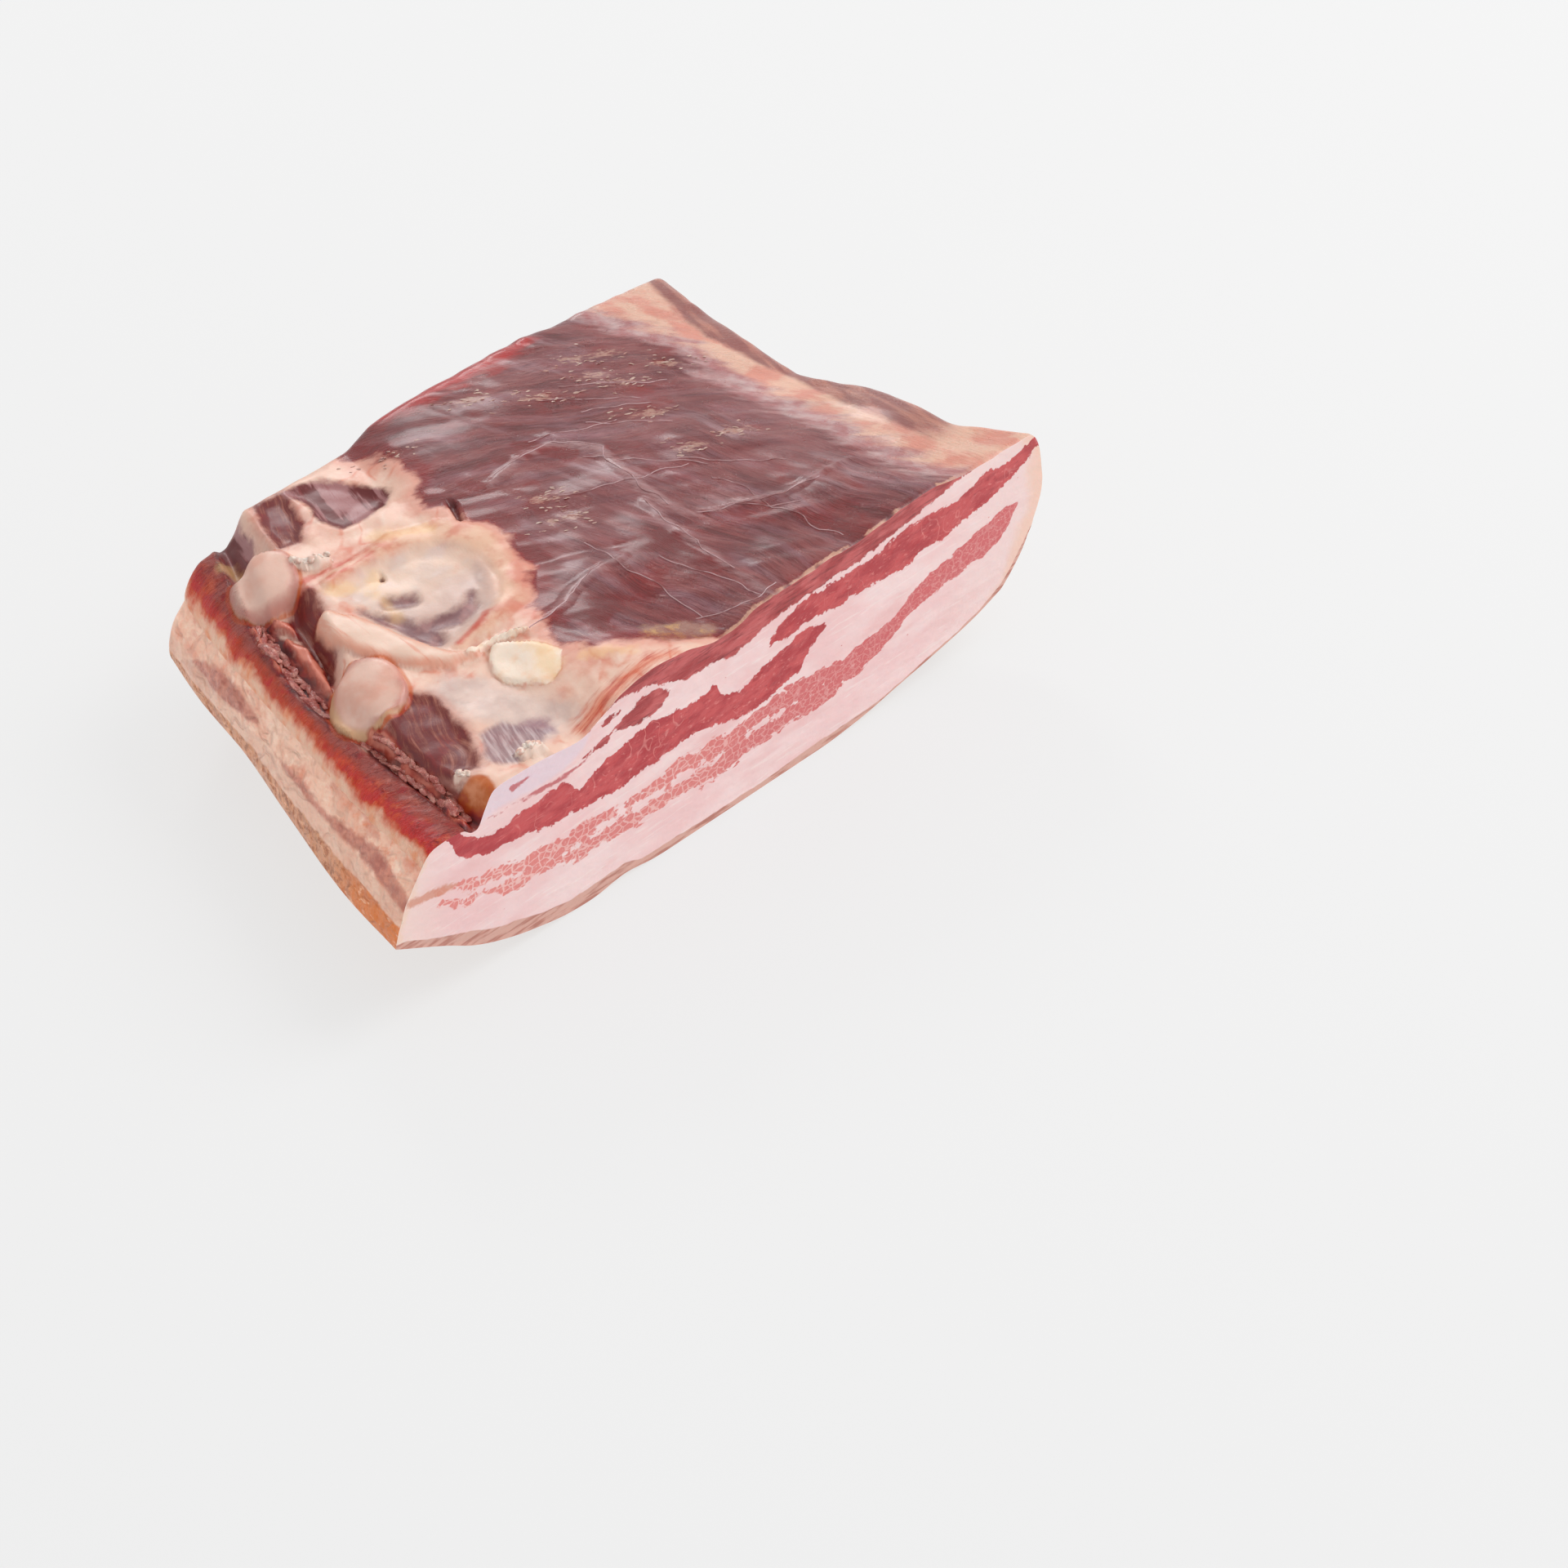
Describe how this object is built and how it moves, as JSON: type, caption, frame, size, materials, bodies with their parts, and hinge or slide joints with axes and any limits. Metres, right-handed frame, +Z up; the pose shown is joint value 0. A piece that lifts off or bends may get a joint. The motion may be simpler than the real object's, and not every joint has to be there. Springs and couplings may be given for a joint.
{
  "type": "bacon slab",
  "caption": "Cured pork belly slab with a fresh flat cut across its streaks of lean and fat, rind below and rib side above.",
  "frame": {"origin": "middle of the slab's box, on the table that the rind rests on", "axes": "+X along the fresh front cut from the rib end to the other end, +Y from the front cut to the back, +Z up"},
  "size_m": [0.24, 0.134, 0.0653],
  "materials": {
    "cured_belly": "moist cured pork: pinkish white fat, red lean streaks, silvery membrane over dark muscle, tan rind"
  },
  "bodies": {
    "root": {"bacon_slab": "cured_belly"}
  },
  "joints": []
}
